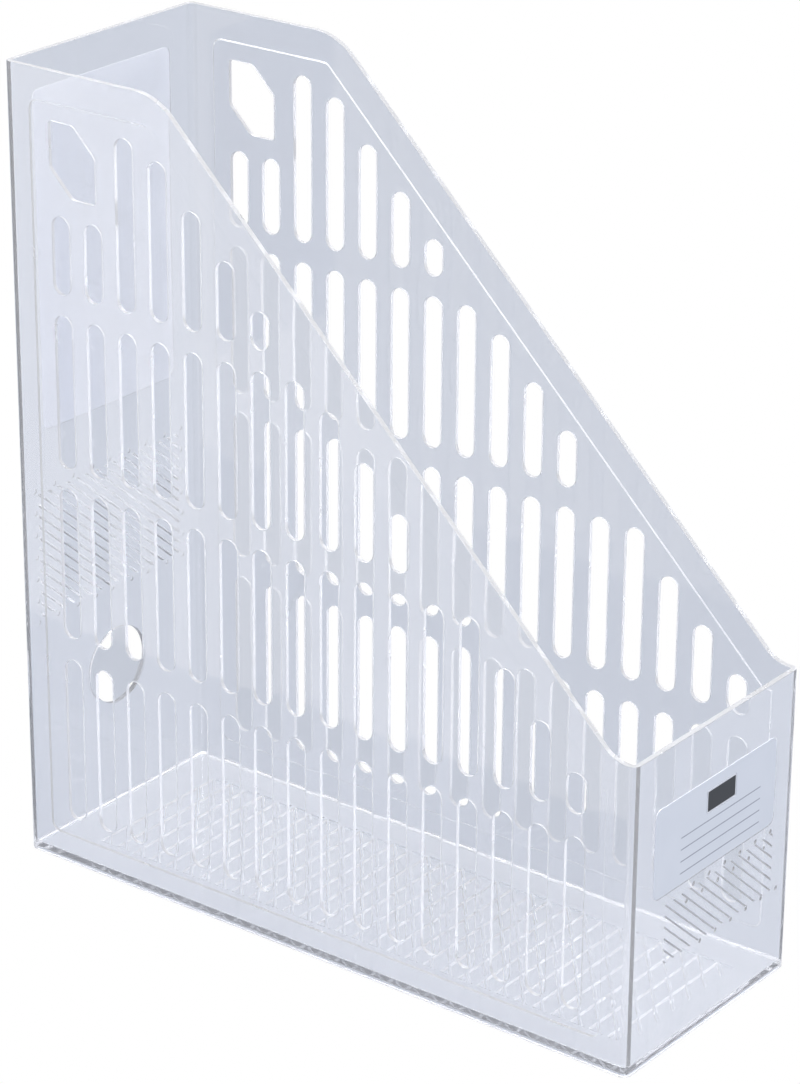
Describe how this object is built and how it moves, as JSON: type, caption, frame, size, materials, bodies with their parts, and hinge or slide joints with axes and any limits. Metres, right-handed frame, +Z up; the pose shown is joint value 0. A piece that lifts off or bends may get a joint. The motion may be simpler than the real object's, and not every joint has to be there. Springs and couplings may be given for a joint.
{
  "type": "magazine file holder",
  "caption": "Open-topped clear magazine file with slotted sloping side walls, low labelled front, tall spine with finger hole and plain floor.",
  "frame": {"origin": "centre of the rectangle that the holder stands on, at the underside of its walls", "axes": "+Z up, -Y towards the low front wall with the label, +Y towards the tall spine wall, X across the holder's width"},
  "size_m": [0.101, 0.275, 0.31],
  "materials": {
    "clear_plastic": "clear, glossy moulded polystyrene with a faint blue tint",
    "label_film": "frosted translucent film, satin",
    "badge_foil": "black foil, satin, blank",
    "spine_paper": "plain pale paper, matt"
  },
  "bodies": {
    "root": {"left_side_wall": "clear_plastic", "right_side_wall": "clear_plastic", "spine_wall": "clear_plastic", "front_wall": "clear_plastic", "floor_plate": "clear_plastic", "front_label": "label_film", "front_badge": "badge_foil", "spine_label": "spine_paper"}
  },
  "joints": []
}
